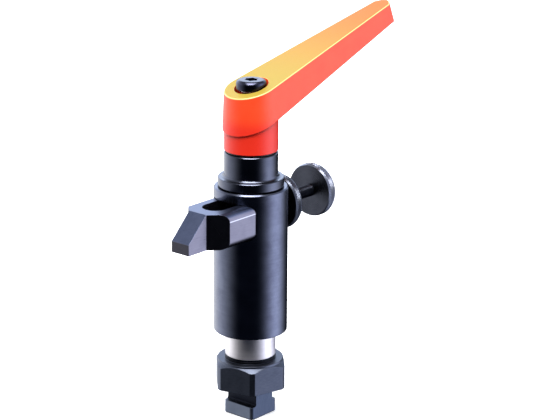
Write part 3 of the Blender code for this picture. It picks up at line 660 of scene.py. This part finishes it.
def lever_paint(name):
    """Powder coat, orange-red on the sides; painted light: a yellow lit top fading to orange, a highlight on
    the rim, shade on the barrel and in the seam.
    """
    material, sheet = new_material(name)
    facing = sheet.node("ShaderNodeTexCoord", output="Normal")
    top_normal = (0.0, -math.sin(TOP_SLOPE), math.cos(TOP_SLOPE))
    toward = sheet.node("ShaderNodeVectorMath", {"operation": "DOT_PRODUCT"}, {0: facing, 1: top_normal},
                        output="Value")
    _, y, z = sheet.parts(sheet.place())
    # painted light: faces turned like the slanted top get a yellow lit tone, fading to orange towards the tip
    lit_top_share = sheet.step(toward, 0.62, 0.92)
    along = sheet.step(y, 0.0, LEVER_LENGTH)
    peel = sheet.noise(sheet.place(), 1500.0, 2.0, 0.55)
    speckle = sheet.noise(sheet.place(), 6500.0, 2.0, 0.6)
    clouds = sheet.noise(sheet.place(), 120.0, 2.0)
    lit_top_colour = sheet.blend(along, *LEVER_TOP_PAINTED_LIGHT)
    side_colour = sheet.blend(clouds, *LEVER_SIDE)
    # painted shade: the barrel below the hub darker and redder
    barrel_shade_share = sheet.step(z, *BARREL_SHADE_FADE)
    side_colour = sheet.blend(barrel_shade_share, side_colour, BARREL_PAINTED_SHADE)
    colour = sheet.blend(lit_top_share, side_colour, lit_top_colour)
    # painted highlight: a light line on the rounded rim between the top and the sides
    rim_highlight_share = sheet.step(toward, 0.35, 0.62) * sheet.step(toward, 0.992, 0.90)
    colour = sheet.blend(rim_highlight_share * 0.8, colour, LEVER_RIM_PAINTED_HIGHLIGHT)
    # painted shade: the recess at the foot of the barrel is coloured black
    seam_shade = sheet.step(z, SEAM + FIT_GAP + SEAM_RECESS, SEAM + FIT_GAP + SEAM_RECESS - RUNNING_GAP)
    colour = sheet.blend(seam_shade, colour, SEAM_PAINTED_SHADE)
    height = peel * 0.8 + speckle * 0.2
    close_material(sheet, {"Base Color": colour, "Metallic": 0.0, "Roughness": 0.38 + (speckle - 0.5) * 0.12,
                           "IOR": 1.4, "Specular IOR Level": 0.5,
                           "Normal": sheet.bump(height, PEEL_HEIGHT, 0.35)})
    return material


def put(piece, body, material, replaced, smooth_angle=SMOOTH_ANGLE):
    """Gives a finished piece its smooth shading, body, finish and the solid that it stands for."""
    make_active(piece)
    bpy.ops.object.shade_smooth_by_angle(angle=math.radians(smooth_angle))
    apply_modifier(piece, "WEIGHTED_NORMAL", keep_sharp=True)
    piece.data.materials.clear()
    piece.data.materials.append(material)
    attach(piece, body)
    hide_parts(replaced)


def make_camera():
    """The camera at the photograph's place."""
    forward = CAMERA_VIEW.normalized()
    side = forward.cross(Vector((0, 0, 1))).normalized()
    up = side.cross(forward)
    tipped_side = side * math.cos(CAMERA_ROLL) + up * math.sin(CAMERA_ROLL)
    tipped_up = up * math.cos(CAMERA_ROLL) - side * math.sin(CAMERA_ROLL)
    data = bpy.data.cameras.new("camera")
    data.sensor_width = SENSOR_WIDTH
    data.lens = SENSOR_WIDTH * FOCAL_LENGTH_PX / PHOTO_WIDTH_PX
    camera = bpy.data.objects.new("camera", data)
    bpy.context.collection.objects.link(camera)
    turn = Matrix((tipped_side, tipped_up, -forward)).transposed()
    camera.matrix_world = Matrix.Translation(CAMERA_PLACE) @ turn.to_4x4()
    bpy.context.scene.camera = camera


def make_slot_nut():
    """The T-slot nut: rounded head, milled neck with a fillet, through hole."""
    half = SLOT_NUT_WIDTH / 2
    nut = block("slot_nut", (SLOT_NUT_WIDTH, SLOT_NUT_WIDTH, HEAD_HEIGHT), (0, 0, HEAD_HEIGHT / 2))
    neck = block("neck", (SLOT_NUT_WIDTH, NECK_WIDTH, NECK_TOP - HEAD_HEIGHT + MARGIN),
                 (0, 0, (HEAD_HEIGHT - MARGIN + NECK_TOP) / 2))
    combine(nut, neck, "UNION")
    half_neck = NECK_WIDTH / 2
    select_edges(nut, lambda a, b: abs(a.z - HEAD_HEIGHT) < NEAR and abs(b.z - HEAD_HEIGHT) < NEAR
                 and abs(abs(a.y) - half_neck) < NEAR and abs(a.y - b.y) < NEAR)
    bpy.ops.mesh.bevel(offset=NECK_FILLET, segments=6)
    object_mode()
    select_edges(nut, lambda a, b: abs(abs(a.y) - half) < NEAR and abs(a.z - b.z) > MARGIN
                 and abs(a.y - b.y) < NEAR)
    bpy.ops.mesh.bevel(offset=NUT_CORNER, segments=8)
    object_mode()
    select_edges(nut, lambda a, b: abs(a.z) < NEAR and abs(b.z) < NEAR)
    bpy.ops.mesh.bevel(offset=NUT_CHAMFER, segments=1)
    object_mode()
    combine(nut, cylinder("nut_hole", STUD_RADIUS + RUNNING_GAP, NECK_TOP * 2, (0, 0, NECK_TOP / 2)))
    round_edges(nut, NUT_EDGE)
    return nut


def make_hexagon():
    """The hexagon with its turned corner chamfer, ring and collar."""
    bore = STUD_RADIUS + RUNNING_GAP
    profile = [(bore, HEXAGON_BOTTOM), (CORNER_RADIUS, HEXAGON_BOTTOM), (CORNER_RADIUS, CORNER_TOP),
               (RING_RADIUS, RING_FOOT), (RING_RADIUS, HEXAGON_FACE), (COLLAR_RADIUS, HEXAGON_FACE),
               (COLLAR_RADIUS, COLLAR_TOP), (RELIEF_RADIUS, COLLAR_TOP), (RELIEF_RADIUS, COLUMN_BOTTOM),
               (bore, COLUMN_BOTTOM)]
    hexagon = turned("hexagon_foot", profile, segments=HEXAGON_ROUND, hollow=True)
    edit_mode(hexagon)
    for side in range(6):
        angle = HEXAGON_TURN + math.pi / 6 + side * math.pi / 3
        normal = (math.cos(angle), math.sin(angle), 0)
        bisect((HALF_FLATS * normal[0], HALF_FLATS * normal[1], 0), normal)
    object_mode()
    round_edges(hexagon, HEXAGON_EDGE, math.radians(24))
    return hexagon


def make_column():
    """The ground column above the hexagon, with the spring's pocket."""
    bore = STUD_RADIUS + RUNNING_GAP
    profile = [(bore, COLUMN_BOTTOM), (COLUMN_RADIUS - COLUMN_FOOT_CHAMFER, COLUMN_BOTTOM),
               (COLUMN_RADIUS, COLUMN_BOTTOM + COLUMN_FOOT_CHAMFER),
               (COLUMN_RADIUS, COLUMN_TOP - COLUMN_CHAMFER), (COLUMN_RADIUS - COLUMN_CHAMFER, COLUMN_TOP),
               (POCKET_RADIUS, COLUMN_TOP), (POCKET_RADIUS, POCKET_FLOOR), (bore, POCKET_FLOOR)]
    return turned("ground_column", profile, hollow=True)


def make_plate(name, radius, bottom, top):
    """A flat ring round the clamping stud, its outer edges broken."""
    bore = STUD_RADIUS + FIT_GAP
    profile = [(bore, bottom), (radius - EDGE_BREAK, bottom), (radius, bottom + EDGE_BREAK),
               (radius, top - EDGE_BREAK), (radius - EDGE_BREAK, top), (bore, top)]
    return turned(name, profile, hollow=True)


def make_body():
    """The round body with the arm's window."""
    profile = [(BODY_BORE + BODY_CHAMFER, BODY_BOTTOM), (BODY_RADIUS - BODY_CHAMFER / 2, BODY_BOTTOM),
               (BODY_RADIUS, BODY_BOTTOM + BODY_CHAMFER / 2), (BODY_RADIUS, BODY_TOP - BODY_CHAMFER),
               (BODY_RADIUS - BODY_CHAMFER, BODY_TOP), (RECESS_RADIUS, BODY_TOP),
               (RECESS_RADIUS, RECESS_FLOOR), (SLOT_RADIUS, RECESS_FLOOR), (SLOT_RADIUS, ARM_CENTRE),
               (BODY_BORE, ARM_CENTRE), (BODY_BORE, BODY_BOTTOM + BODY_CHAMFER)]
    body = turned("round_body", profile, segments=BODY_ROUND, hollow=True)
    combine(body, arm_bar("window", FIT_GAP, -2 * BODY_RADIUS, 2 * BODY_RADIUS))
    round_edges(body, BODY_EDGE)
    return body


def make_arm():
    """The clamp arm: milled nose, flanks, long slot and threaded tail."""
    arm = arm_bar("sliding_arm", 0, -ARM_REACH, ARM_TAIL)
    slope_start = ARM_REACH - (2 * ARM_HALF_HEIGHT - NOSE_HEIGHT)
    nose_top = ARM_CENTRE - ARM_HALF_HEIGHT + NOSE_HEIGHT
    edit_mode(arm)
    bisect((0, -ARM_REACH, nose_top), (0, -1, 1))
    bisect((ARM_HALF_WIDTH, ARM_TAIL - TAIL_CHAMFER, 0), (1, 1, 0))
    bisect((-ARM_HALF_WIDTH, ARM_TAIL - TAIL_CHAMFER, 0), (-1, 1, 0))
    object_mode()
    reach = 2 * ARM_HALF_WIDTH
    for side in (-1, 1):
        flank = block("flank", (reach, 2 * (ARM_REACH - slope_start), 3 * ARM_HALF_HEIGHT),
                      (side * (NOSE_HALF_WIDTH + reach / 2), -ARM_REACH, ARM_CENTRE))
        far = NOSE_HALF_WIDTH + reach - NEAR
        select_points(flank, lambda place: side * place.x > far and place.y > -slope_start - NEAR)
        bpy.ops.transform.translate(value=(0, reach, 0))
        object_mode()
        combine(arm, flank)
    slot = cylinder("slot", SLOT_RADIUS, 4 * ARM_HALF_HEIGHT, (0, 0, ARM_CENTRE), SMALL_ROUND + 2)
    select_points(slot, lambda place: place.y < 0)
    bpy.ops.transform.translate(value=(0, -SLOT_TRAVEL, 0))
    object_mode()
    combine(arm, slot)
    rod_hole = cylinder("rod_hole", ROD_RADIUS + RUNNING_GAP, CUT_REACH,
                        (0, ROD_START - RUNNING_GAP + CUT_REACH / 2, ROD_LEVEL), lie=(math.pi / 2, 0, 0))
    combine(arm, rod_hole)
    round_edges(arm, ARM_EDGE)
    return arm


def make_flange_nut():
    """The flange nut: flange, filleted shoulder, sleeve, journal and serrated head."""
    root = TEETH_RADIUS - TEETH_DEPTH
    bore = STUD_RADIUS + RUNNING_GAP
    screw_bore = SCREW_RADIUS + RUNNING_GAP
    shoulder_centre = (SLEEVE_RADIUS + SHOULDER, FLANGE_TOP + SHOULDER)
    shoulder = quarter(SHOULDER, shoulder_centre, -math.pi / 2, -math.pi, 8)
    profile = [(bore, FLANGE_BOTTOM), (FLANGE_RADIUS - FLANGE_CHAMFER, FLANGE_BOTTOM),
               (FLANGE_RADIUS, FLANGE_BOTTOM + FLANGE_CHAMFER), (FLANGE_RADIUS, FLANGE_TOP - FLANGE_CHAMFER),
               (FLANGE_RADIUS - FLANGE_CHAMFER, FLANGE_TOP)] + shoulder
    profile += [(SLEEVE_RADIUS, SEAM - SLEEVE_CHAMFER), (SLEEVE_RADIUS - SLEEVE_CHAMFER, SEAM),
                (JOURNAL_RADIUS, SEAM), (JOURNAL_RADIUS, TEETH_FOOT - FIT_GAP), (root, TEETH_FOOT - FIT_GAP),
                (root, NUT_TOP), (screw_bore, NUT_TOP), (screw_bore, MAIN_THREAD_TOP),
                (bore, MAIN_THREAD_TOP)]
    nut = turned("sleeve_nut", profile, hollow=True)
    teeth = cylinder("teeth", TEETH_RADIUS, NUT_TOP - TEETH_FOOT,
                     (0, 0, (NUT_TOP + TEETH_FOOT) / 2 - RUNNING_GAP / 2), 2 * TEETH_COUNT)
    select_points(teeth, lambda place: round(math.atan2(place.x, place.y) * TEETH_COUNT / math.pi) % 2 == 1)
    share = (root - RUNNING_GAP) / TEETH_RADIUS
    bpy.ops.transform.resize(value=(share, share, 1), center_override=(0, 0, NUT_TOP))
    object_mode()
    combine(teeth, cylinder("teeth_bore", (root + SCREW_RADIUS) / 2, CUT_REACH, (0, 0, NUT_TOP)))
    combine(nut, teeth, "UNION")
    round_edges(nut, FLANGE_EDGE)
    turn_plan(nut, LEVER_TURN)
    return nut


def lever_ring(base, slope, radius):
    """One outline of the hub on a slanted plane, round in plan."""
    bpy.ops.mesh.primitive_circle_add(vertices=ROUND, radius=radius, location=(0, 0, base),
                                      rotation=(slope, 0, 0))
    bpy.context.object.scale = (1, 1 / math.cos(slope), 1)


def lever_tip(base, slope, half_width, length):
    """One outline of the tip on a slanted plane: an eight-sided point."""
    along = length - TIP_POINT
    place = (0, along, base + along * math.tan(slope))
    bpy.ops.mesh.primitive_circle_add(vertices=8, radius=1, location=place, rotation=(slope, 0, 0))
    bpy.context.object.scale = (half_width, TIP_POINT / math.cos(slope), 1)


def make_lever():
    """The lever: hull of its two slanted outlines, upright barrel, counterbore and bores."""
    bpy.ops.object.select_all(action="DESELECT")
    outlines = []
    for base, slope, radius, half_width, length in (
            (LOW_BASE, LOW_SLOPE, HUB_LOW_RADIUS, TIP_LOW_HALF, LEVER_LENGTH + TIP_LEAN),
            (TOP_BASE, TOP_SLOPE, SLEEVE_RADIUS, TIP_TOP_HALF, LEVER_LENGTH)):
        lever_ring(base, slope, radius)
        outlines.append(name_new("hub_outline"))
        lever_tip(base, slope, half_width, length)
        tip = name_new("tip_outline")
        beyond = length - TIP_POINT + OFF_CENTRE
        select_points(tip, lambda place: place.y > beyond and abs(place.x) > OFF_CENTRE)
        bpy.ops.transform.resize(value=(TIP_NARROWING, 1, 1), center_override=(0, 0, 0))
        object_mode()
        outlines.append(tip)
    bpy.ops.object.select_all(action="DESELECT")
    for outline in outlines:
        outline.select_set(True)
    bpy.context.view_layer.objects.active = outlines[0]
    bpy.ops.object.join()
    lever = bpy.context.object
    lever.name = "lever"
    lever.data.name = "lever"
    edit_mode()
    bpy.ops.mesh.convex_hull()
    bpy.ops.mesh.dissolve_limited(angle_limit=math.radians(0.5))
    object_mode()
    round_edges(lever, LEVER_EDGE, math.radians(28), 4)
    neck = SLEEVE_RADIUS - SEAM_RECESS
    recess_top = SEAM + FIT_GAP + SEAM_RECESS
    barrel = turned("barrel", [(neck, SEAM + FIT_GAP), (neck, recess_top),
                               (SLEEVE_RADIUS - EDGE_BREAK, recess_top),
                               (SLEEVE_RADIUS, recess_top + EDGE_BREAK), (SLEEVE_RADIUS, NUT_TOP)])
    combine(lever, barrel, "UNION")
    top = TOP_BASE + CUT_REACH
    for radius, low, high in ((JOURNAL_RADIUS + RUNNING_GAP, SEAM - MARGIN, NUT_TOP + FIT_GAP),
                              (SCREW_RADIUS + FIT_GAP, TEETH_FOOT, top), (COUNTERBORE_RADIUS, WEB_TOP, top)):
        combine(lever, cylinder("bore", radius, high - low, (0, 0, (low + high) / 2), ROUND))
    round_edges(lever, EDGE_BREAK, math.radians(35))
    turn_plan(lever, LEVER_TURN)
    return lever


def make_screw():
    """The lever's screw: rounded head with a six-lobed recess."""
    profile = [(SCREW_RADIUS - SCREW_CHAMFER, SCREW_END), (SCREW_RADIUS, SCREW_END + SCREW_CHAMFER),
               (SCREW_RADIUS, SCREW_SEAT), (SCREW_HEAD_RADIUS - EDGE_BREAK, SCREW_SEAT),
               (SCREW_HEAD_RADIUS, SCREW_SEAT + EDGE_BREAK)]
    rounding_centre = (SCREW_HEAD_RADIUS - SCREW_ROUNDING, SCREW_HEAD_TOP - SCREW_ROUNDING)
    profile += quarter(SCREW_ROUNDING, rounding_centre, 0, math.pi / 2, 10)
    screw = turned("round_head_screw", profile, segments=SCREW_ROUND)
    places = [(0.0, 0.0, DRIVE_CORE)]
    for lobe in range(6):
        angle = lobe * math.pi / 3
        out = DRIVE_REACH - DRIVE_LOBE
        places.append((out * math.cos(angle), out * math.sin(angle), DRIVE_LOBE))
    for x, y, radius in places:
        combine(screw, cylinder("drive", radius, 2 * DRIVE_DEPTH, (x, y, SCREW_HEAD_TOP), 32))
    round_edges(screw, SCREW_EDGE, math.radians(40), 2)
    return screw


def knurled(name, radius, front, back):
    """A disc with smooth chamfers and a diamond-knurled rim."""
    valley = radius - KNURL_DEPTH
    start = front + KNURL_CHAMFER
    end = back - KNURL_CHAMFER
    rows = 2 * round((end - start) / KNURL_PITCH)
    around = 2 * round(2 * math.pi * radius / KNURL_PITCH)
    inner = ROD_RADIUS + RUNNING_GAP
    chamfer_low = valley - (KNURL_CHAMFER - KNURL_DEPTH)
    profile = [(inner, front), (chamfer_low, front), (valley, start)]
    for row in range(1, rows + 1):
        profile.append((valley, start + (end - start) * row / rows))
    profile += [(chamfer_low, back), (inner, back)]
    disc = turned(name, profile, along="Y", level=ROD_LEVEL, segments=around, hollow=True)
    spacing = (end - start) / rows

    def cell(place, shift):
        """The number of the knurl's cell, odd or even like a chessboard."""
        turn = math.atan2(place.x, place.z - ROD_LEVEL) * around / (2 * math.pi)
        return round(turn - shift) + round((place.y - start) / spacing - shift)

    def on_rim(place):
        """Whether a point lies on the knurled rim."""
        return math.hypot(place.x, place.z - ROD_LEVEL) > valley - NEAR

    for parity, method in ((0, "FIXED"), (1, "FIXED_ALTERNATE")):
        bpy.ops.object.mode_set(mode="EDIT")
        bpy.ops.mesh.select_mode(type="FACE")
        bpy.ops.mesh.select_all(action="DESELECT")
        object_mode()
        for face in disc.data.polygons:
            inside = len(face.vertices) == 4 and start < face.center.y < end
            rim = inside and math.hypot(face.center.x, face.center.z - ROD_LEVEL) > valley * 0.99
            face.select = rim and cell(face.center, 0.5) % 2 == parity
        bpy.ops.object.mode_set(mode="EDIT")
        bpy.ops.mesh.quads_convert_to_tris(quad_method=method)
        object_mode()
    select_points(disc, lambda place: on_rim(place) and start + spacing / 2 < place.y < end - spacing / 2
                  and cell(place, 0) % 2 == 1)
    share = radius / valley
    bpy.ops.transform.resize(value=(share, 1, share), center_override=(0, 0, ROD_LEVEL))
    object_mode()
    return disc


def make_rod():
    """The threaded rod between the arm's tail and the knob."""
    rod = threaded("threaded_rod", ROD_RADIUS, ROD_PITCH, ROD_THREAD_DEPTH, ROD_START, ROD_END, 24)
    edit_mode(rod)
    bpy.ops.transform.rotate(value=math.pi / 2, orient_axis="X", center_override=(0, 0, 0))
    bpy.ops.transform.translate(value=(0, 0, ROD_LEVEL))
    object_mode()
    return rod


def make_world():
    """Soft studio surroundings: tall panels of light right, left and behind, and a soft ceiling."""
    world = bpy.data.worlds.new("studio")
    world.use_nodes = True
    bpy.context.scene.world = world
    sheet = Sheet(world.node_tree)
    x, y, z = sheet.parts(sheet.node("ShaderNodeTexCoord", output="Generated"))
    level = sheet.math("SQRT", x * x + y * y)

    def panel(bearing, narrowness):
        """Brightness of a tall panel at a bearing from the camera."""
        angle = CAMERA_BEARING + math.radians(bearing)
        toward = (x * math.cos(angle) + y * math.sin(angle)) / level
        return sheet.math("MAXIMUM", toward, 0.0) ** narrowness

    low_fade = sheet.step(z, -0.75, -0.40) * sheet.step(z, 0.85, 0.35)
    right = panel(*RIGHT_PANEL[:2]) * low_fade
    left = panel(*LEFT_PANEL[:2]) * low_fade
    horizon = sheet.step(z, -0.17, -0.11) * sheet.step(z, -0.01, -0.07)
    right = right + right * horizon * HORIZON_GAIN
    back = panel(*BACK_PANEL[:2]) * sheet.step(z, 0.02, 0.24) * sheet.step(z, 0.62, 0.38)
    glow = sheet.blend(sheet.step(z, 0.35, 0.95), LOW_GLOW, CEILING_GLOW)
    for share, panel_colour in ((right, RIGHT_PANEL[2]), (left, LEFT_PANEL[2]), (back, BACK_PANEL[2])):
        glow = sheet.blend(1.0, glow, sheet.blend(share, (0, 0, 0, 1), panel_colour), "ADD")
    background = sheet.node("ShaderNodeBackground", inputs={"Color": glow, "Strength": 1.0})
    sheet.node("ShaderNodeOutputWorld", inputs={"Surface": background})


def from_camera_side(bearing, height_angle, distance):
    """A place at a bearing from the camera, counted to the right, and at an angle above the floor."""
    angle = CAMERA_BEARING + math.radians(bearing)
    rise = math.radians(height_angle)
    return (distance * math.cos(rise) * math.cos(angle), distance * math.cos(rise) * math.sin(angle),
            LIGHT_FOOT + distance * math.sin(rise))


def add_softbox(name, place, width, length, power):
    """A soft area light aimed at the clamp, which the camera doesn't see."""
    data = bpy.data.lights.new(name, "AREA")
    data.shape = "RECTANGLE"
    data.size = width
    data.size_y = length
    data.energy = power
    box = bpy.data.objects.new(name, data)
    bpy.context.collection.objects.link(box)
    box.location = place
    box.rotation_euler = (Vector(place) - Vector(LIGHT_AIM)).to_track_quat("Z", "Y").to_euler()
    box.visible_camera = False


def make_floor():
    """The pale floor; glossy surfaces reflect the studio rather than the floor."""
    bpy.ops.object.select_all(action="DESELECT")
    bpy.ops.mesh.primitive_plane_add(size=FLOOR_SIZE)
    floor = name_new("studio_floor")
    material, sheet = new_material("pale_floor")
    grain = sheet.noise(sheet.place(), 40.0, 2.0)
    close_material(sheet, {"Base Color": sheet.blend(grain, *FLOOR_WHITE),
                           "Roughness": 0.9, "Specular IOR Level": 0.1,
                           "Emission Color": (1.0, 1.0, 1.0, 1.0), "Emission Strength": FLOOR_GLOW})
    floor.data.materials.append(material)
    floor.visible_glossy = False
    floor.visible_diffuse = False


make_camera()
make_world()
make_floor()
for light, bearing, height_angle, distance, width, length, power in SOFTBOXES:
    add_softbox(light, from_camera_side(bearing, height_angle, distance), width, length, power)

body_steel = turned_steel("body_steel_black", BODY_OXIDE, 0.20, 0.05)
nut_steel = turned_steel("flange_nut_black", FLANGE_OXIDE, 0.18, 0.05)
# painted highlight: the screw head's top and rounding lighter than its side wall
screw_steel = turned_steel("screw_black", SCREW_OXIDE, 0.22, 0.08, face_painted_light=1.8, face_from=-0.2,
                           face_to=0.3)
thread_steel = turned_steel("thread_black", THREAD_OXIDE, 0.30, 0.15)
# painted shade: the end faces of the knob and the stop nut darker than their rims
knob_steel = turned_steel("knob_blue_grey", KNOB_OXIDE, 0.28, 0.5, "Y", ROD_LEVEL, 2200.0, face_painted_light=0.27)
stop_steel = turned_steel("stop_nut_black", STOP_NUT_OXIDE, 0.28, 0.4, "Y", ROD_LEVEL, 2200.0,
                          face_painted_light=0.35)
washer_steel = turned_steel("washer_ground", GROUND_WASHER, 0.3, 0.3)
column_steel = turned_steel("column_ground", GROUND_COLUMN, 0.47, 0.9)
hexagon_steel = milled_steel("hexagon_oxide", HEXAGON_OXIDE, 0.38, 0.4, (500.0, 500.0, 2600.0),
                             black_above=HEXAGON_FACE)
slot_nut_steel = slot_nut_finish("slot_nut_milled")
arm_steel = milled_steel("arm_milled", ARM_OXIDE, 0.30, 0.4, (3000.0, 150.0, 3000.0), end_shade=0.35)
wire_steel = spring_wire("spring_wire")
paint = lever_paint("lever_powder_coat")

put(make_slot_nut(), "foot", slot_nut_steel, "t_slot_nut")
foot_stud = threaded("foot_thread", STUD_RADIUS, STUD_PITCH, STUD_THREAD_DEPTH, FOOT_STUD_BOTTOM,
                     FOOT_STUD_TOP)
put(foot_stud, "stud", thread_steel, "foot_stud")
put(make_hexagon(), "column", hexagon_steel, "guide_column")
put(make_column(), "column", column_steel, "guide_column")
clamp_stud = threaded("clamp_thread", STUD_RADIUS, STUD_PITCH, STUD_THREAD_DEPTH, STUD_BOTTOM, STUD_TOP)
put(clamp_stud, "column", thread_steel, "clamp_stud")
return_spring = coil_spring("column_spring", RETURN_WIRE, RETURN_COIL_RADIUS, POCKET_FLOOR + FIT_GAP,
                            PLATE_BOTTOM - FIT_GAP, RETURN_TURNS)
put(return_spring, "column", wire_steel, "return_spring")
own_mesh(return_spring)
put(make_plate("pressure_plate", PLATE_RADIUS, PLATE_BOTTOM, PLATE_TOP), "carrier",
    washer_steel, "spring_plate")
put(make_body(), "body", body_steel, "clamp_body")
put(make_arm(), "arm", arm_steel, "clamp_arm")
put(make_plate("ground_washer", WASHER_RADIUS, WASHER_BOTTOM, WASHER_TOP), "carrier",
    washer_steel, "thrust_washer")
put(make_flange_nut(), "clamping_nut", nut_steel, "flange_nut")
put(make_lever(), "lever", paint, "lever_handle")
put(make_screw(), "clamping_nut", screw_steel, "lever_screw")
lever_spring = coil_spring("hub_spring", LEVER_WIRE, LEVER_COIL_RADIUS, WEB_TOP + FIT_GAP,
                           SCREW_SEAT - FIT_GAP, LEVER_SPRING_TURNS)
put(lever_spring, "clamping_nut", wire_steel, "lever_spring")
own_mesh(lever_spring)
put(make_rod(), "arm", thread_steel, "knob_rod")
put(knurled("reach_nut", STOP_NUT_RADIUS, STOP_NUT_FRONT, STOP_NUT_BACK), "reach_stop",
    stop_steel, "stop_nut", KNURL_SMOOTH_ANGLE)
put(knurled("knurled_knob", KNOB_RADIUS, KNOB_FRONT, KNOB_BACK), "arm", knob_steel, "pull_knob",
    KNURL_SMOOTH_ANGLE)

bpy.context.scene.view_settings.view_transform = "Standard"
